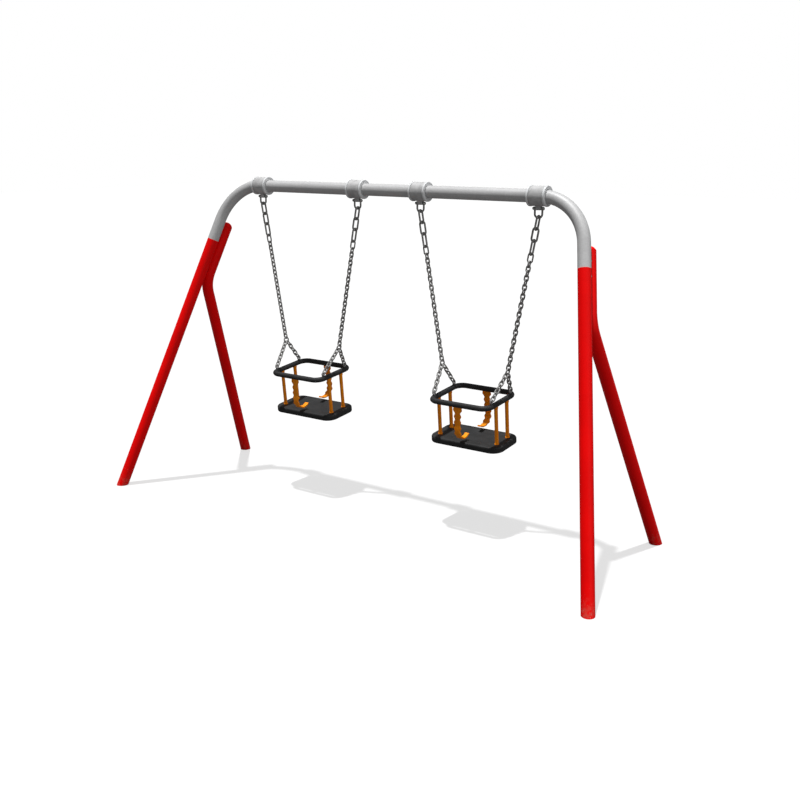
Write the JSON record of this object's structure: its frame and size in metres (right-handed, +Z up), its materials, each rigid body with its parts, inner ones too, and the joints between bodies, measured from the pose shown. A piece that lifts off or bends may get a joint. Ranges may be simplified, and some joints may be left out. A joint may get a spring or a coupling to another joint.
{
  "type": "swing set",
  "caption": "Arched tube swing frame on splayed legs, with hanging cradle seats on chains, each with a ring, posts, straps and a platform.",
  "frame": {"origin": "on the ground at the middle of the frame's width and depth", "axes": "+X along the top bar, +Y to the rear (the side of the bent rear legs), +Z up"},
  "size_m": [3.1112, 1.036, 1.7895],
  "materials": {
    "galvanised_tube": "satin galvanised",
    "red_paint": "gloss powder coat",
    "pale_polymer": "satin",
    "collar_steel": "satin grey",
    "chain_steel": "dull galvanised",
    "zinc_fixings": "zinc plated",
    "black_rubber": "matt moulded",
    "orange_polymer": "satin moulded",
    "inner_steel": "plain",
    "inner_aluminium": "mill",
    "black_plastic": "matt"
  },
  "bodies": {
    "frame": {"arch_tube": "galvanised_tube", "joint_screws": "zinc_fixings", "foot_plugs": "black_plastic", "bush_screws": "zinc_fixings", "left_front_leg": "red_paint", "left_rear_leg": "red_paint", "left_leg_cap": "red_paint", "left_leg_welds": "red_paint", "left_joint_sleeve": "inner_steel", "left_bushes": "pale_polymer", "right_front_leg": "red_paint", "right_rear_leg": "red_paint", "right_leg_cap": "red_paint", "right_leg_welds": "red_paint", "right_joint_sleeve": "inner_steel", "right_bushes": "pale_polymer"},
    "left_hangers": {"left_inner_collar": "collar_steel", "left_outer_collar": "collar_steel"},
    "left_chains": {"left_shackles": "chain_steel", "left_shackle_bolts": "zinc_fixings", "left_shackle_nuts": "zinc_fixings", "left_top_links": "chain_steel", "left_upper_chains": "chain_steel"},
    "left_seat": {"left_split_rings": "chain_steel", "left_lower_chains": "chain_steel", "left_eye_bolts": "chain_steel", "left_seat_ring": "black_rubber", "left_ring_core": "inner_steel", "left_seat_posts": "orange_polymer", "left_post_studs": "zinc_fixings", "left_stud_nuts": "zinc_fixings", "left_seat_platform": "black_rubber", "left_seat_plate": "inner_aluminium", "left_front_strap": "orange_polymer", "left_rear_strap": "orange_polymer", "left_strap_studs": "zinc_fixings"},
    "right_hangers": {"right_inner_collar": "collar_steel", "right_outer_collar": "collar_steel"},
    "right_chains": {"right_shackles": "chain_steel", "right_shackle_bolts": "zinc_fixings", "right_shackle_nuts": "zinc_fixings", "right_top_links": "chain_steel", "right_upper_chains": "chain_steel"},
    "right_seat": {"right_split_rings": "chain_steel", "right_lower_chains": "chain_steel", "right_eye_bolts": "chain_steel", "right_seat_ring": "black_rubber", "right_ring_core": "inner_steel", "right_seat_posts": "orange_polymer", "right_post_studs": "zinc_fixings", "right_stud_nuts": "zinc_fixings", "right_seat_platform": "black_rubber", "right_seat_plate": "inner_aluminium", "right_front_strap": "orange_polymer", "right_rear_strap": "orange_polymer", "right_strap_studs": "zinc_fixings"}
  },
  "joints": [
    {"name": "left_hanger_swing", "type": "hinge", "parent": "frame", "child": "left_hangers", "pos_m": [-0.542, 0.13873, 1.74], "axis": [1, 0, 0], "range_deg": [-60, 60]},
    {"name": "left_shackle_swing", "type": "hinge", "parent": "left_hangers", "child": "left_chains", "pos_m": [-0.542, 0.13873, 1.68202], "axis": [1, 0, 0], "range_deg": [-30, 30]},
    {"name": "left_seat_tilt", "type": "hinge", "parent": "left_chains", "child": "left_seat", "pos_m": [-0.542, 0.13873, 0.87745], "axis": [1, 0, 0], "range_deg": [-30, 30]},
    {"name": "right_hanger_swing", "type": "hinge", "parent": "frame", "child": "right_hangers", "pos_m": [0.542, 0.13873, 1.74], "axis": [1, 0, 0], "range_deg": [-60, 60]},
    {"name": "right_shackle_swing", "type": "hinge", "parent": "right_hangers", "child": "right_chains", "pos_m": [0.542, 0.13873, 1.68202], "axis": [1, 0, 0], "range_deg": [-30, 30]},
    {"name": "right_seat_tilt", "type": "hinge", "parent": "right_chains", "child": "right_seat", "pos_m": [0.542, 0.13873, 0.87745], "axis": [1, 0, 0], "range_deg": [-30, 30]}
  ]
}
